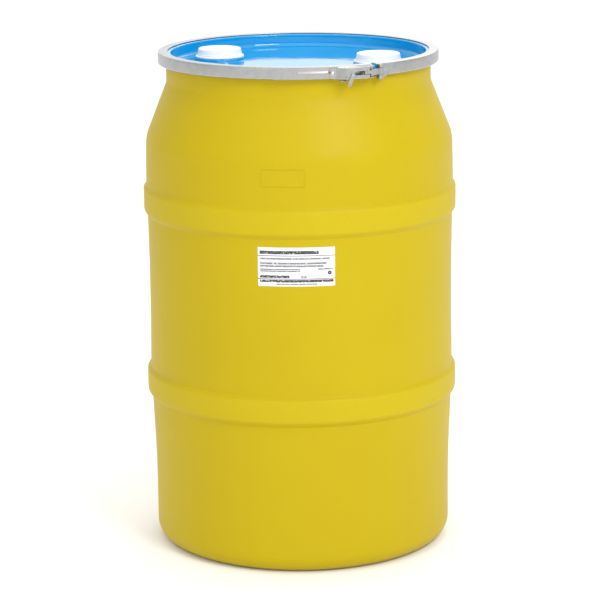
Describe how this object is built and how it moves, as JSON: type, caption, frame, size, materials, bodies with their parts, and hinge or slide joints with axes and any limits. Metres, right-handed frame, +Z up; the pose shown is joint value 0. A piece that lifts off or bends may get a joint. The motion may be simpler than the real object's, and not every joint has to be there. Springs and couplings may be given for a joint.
{
  "type": "open-head plastic drum",
  "caption": "Upright open-head plastic drum with rolling hoops, a recessed lid with capped bungs and a steel lever-lock closing ring.",
  "frame": {"origin": "centre of the base, on the floor", "axes": "+Z up along the drum's axis; the lever of the closing ring faces -Y, its pivot at +X of the front"},
  "size_m": [0.594, 0.594, 0.945],
  "materials": {
    "yellow_hdpe": "blow-moulded polyethylene, satin",
    "blue_hdpe": "injection-moulded polyethylene, glossy",
    "white_hdpe": "moulded polyethylene, satin",
    "cap_plastic": "moulded, satin gloss",
    "gasket_rubber": "moulded rubber",
    "galvanised_steel": "galvanised, bright",
    "pin_steel": "zinc-plated",
    "label_paper": "coated paper"
  },
  "bodies": {
    "drum": {"drum_body": "yellow_hdpe", "label": "label_paper"},
    "lid": {"lid": "blue_hdpe", "lid_gasket": "gasket_rubber"},
    "bung_ring_a": {"bung_gasket_a": "gasket_rubber"},
    "bung_ring_b": {"bung_gasket_b": "gasket_rubber"},
    "bung_a": {"bung_a": "white_hdpe"},
    "bung_b": {"bung_b": "white_hdpe"},
    "cap_a": {"cap_seal_a": "cap_plastic"},
    "cap_b": {"cap_seal_b": "cap_plastic"},
    "ring": {"ring_band": "galvanised_steel", "fulcrum_bracket": "galvanised_steel", "fulcrum_pin": "pin_steel"},
    "ring_end": {"anchor_bracket": "galvanised_steel", "anchor_pin": "pin_steel"},
    "lever": {"handle_plate": "galvanised_steel", "lever_channel": "galvanised_steel", "handle_rivet": "pin_steel", "link_pin": "pin_steel", "seal_tab_rivet": "pin_steel"},
    "link": {"link": "galvanised_steel"},
    "seal_tab": {"seal_tab": "galvanised_steel"}
  },
  "joints": [
    {"name": "lid_lift", "type": "slide", "parent": "drum", "child": "lid", "axis": [0, 0, 1], "range_m": [0, 0.16]},
    {"name": "ring_lift", "type": "slide", "parent": "lid", "child": "ring", "axis": [0, 0, 1], "range_m": [0, 0.09]},
    {"name": "lever_swing", "type": "hinge", "parent": "ring", "child": "lever", "pos_m": [0.1309, -0.23615, 0.93275], "axis": [0, 0, 1], "range_deg": [0, 140]},
    {"name": "link_swing", "type": "hinge", "parent": "lever", "child": "link", "pos_m": [0.12069, -0.24867, 0.93275], "axis": [0, 0, 1], "range_deg": [-137.5, 0]},
    {"name": "ring_spread", "type": "hinge", "parent": "ring", "child": "ring_end", "pos_m": [-0.13633, 0.22514, 0.93375], "axis": [0, 0, 1], "range_deg": [0, 3.24], "deforming": ["ring_band"]},
    {"name": "tab_swing", "type": "hinge", "parent": "lever", "child": "seal_tab", "pos_m": [0.09683, -0.26326, 0.93025], "axis": [0.3452, -0.9385, 0], "range_deg": [-60, 60]},
    {"name": "bung_a_rise", "type": "slide", "parent": "lid", "child": "bung_ring_a", "axis": [0, 0, 1], "range_m": [0, 0.0356]},
    {"name": "bung_a_turn", "type": "hinge", "parent": "bung_ring_a", "child": "bung_a", "pos_m": [-0.14932, 0.04852, 0.9254], "axis": [0, 0, 1], "range_deg": [0, 2520]},
    {"name": "cap_a_lift", "type": "slide", "parent": "bung_a", "child": "cap_a", "axis": [0, 0, 1], "range_m": [0, 0.04]},
    {"name": "bung_b_rise", "type": "slide", "parent": "lid", "child": "bung_ring_b", "axis": [0, 0, 1], "range_m": [0, 0.0356]},
    {"name": "bung_b_turn", "type": "hinge", "parent": "bung_ring_b", "child": "bung_b", "pos_m": [0.14932, -0.04852, 0.9254], "axis": [0, 0, 1], "range_deg": [0, 2520]},
    {"name": "cap_b_lift", "type": "slide", "parent": "bung_b", "child": "cap_b", "axis": [0, 0, 1], "range_m": [0, 0.04]}
  ],
  "couplings": [
    {"joint": "link_swing", "follows": "lever_swing", "ratio": -0.9813},
    {"joint": "ring_spread", "follows": "lever_swing", "ratio": 0.023119},
    {"joint": "bung_a_rise", "follows": "bung_a_turn", "m_per_rad": 0.00080851},
    {"joint": "bung_b_rise", "follows": "bung_b_turn", "m_per_rad": 0.00080851}
  ]
}
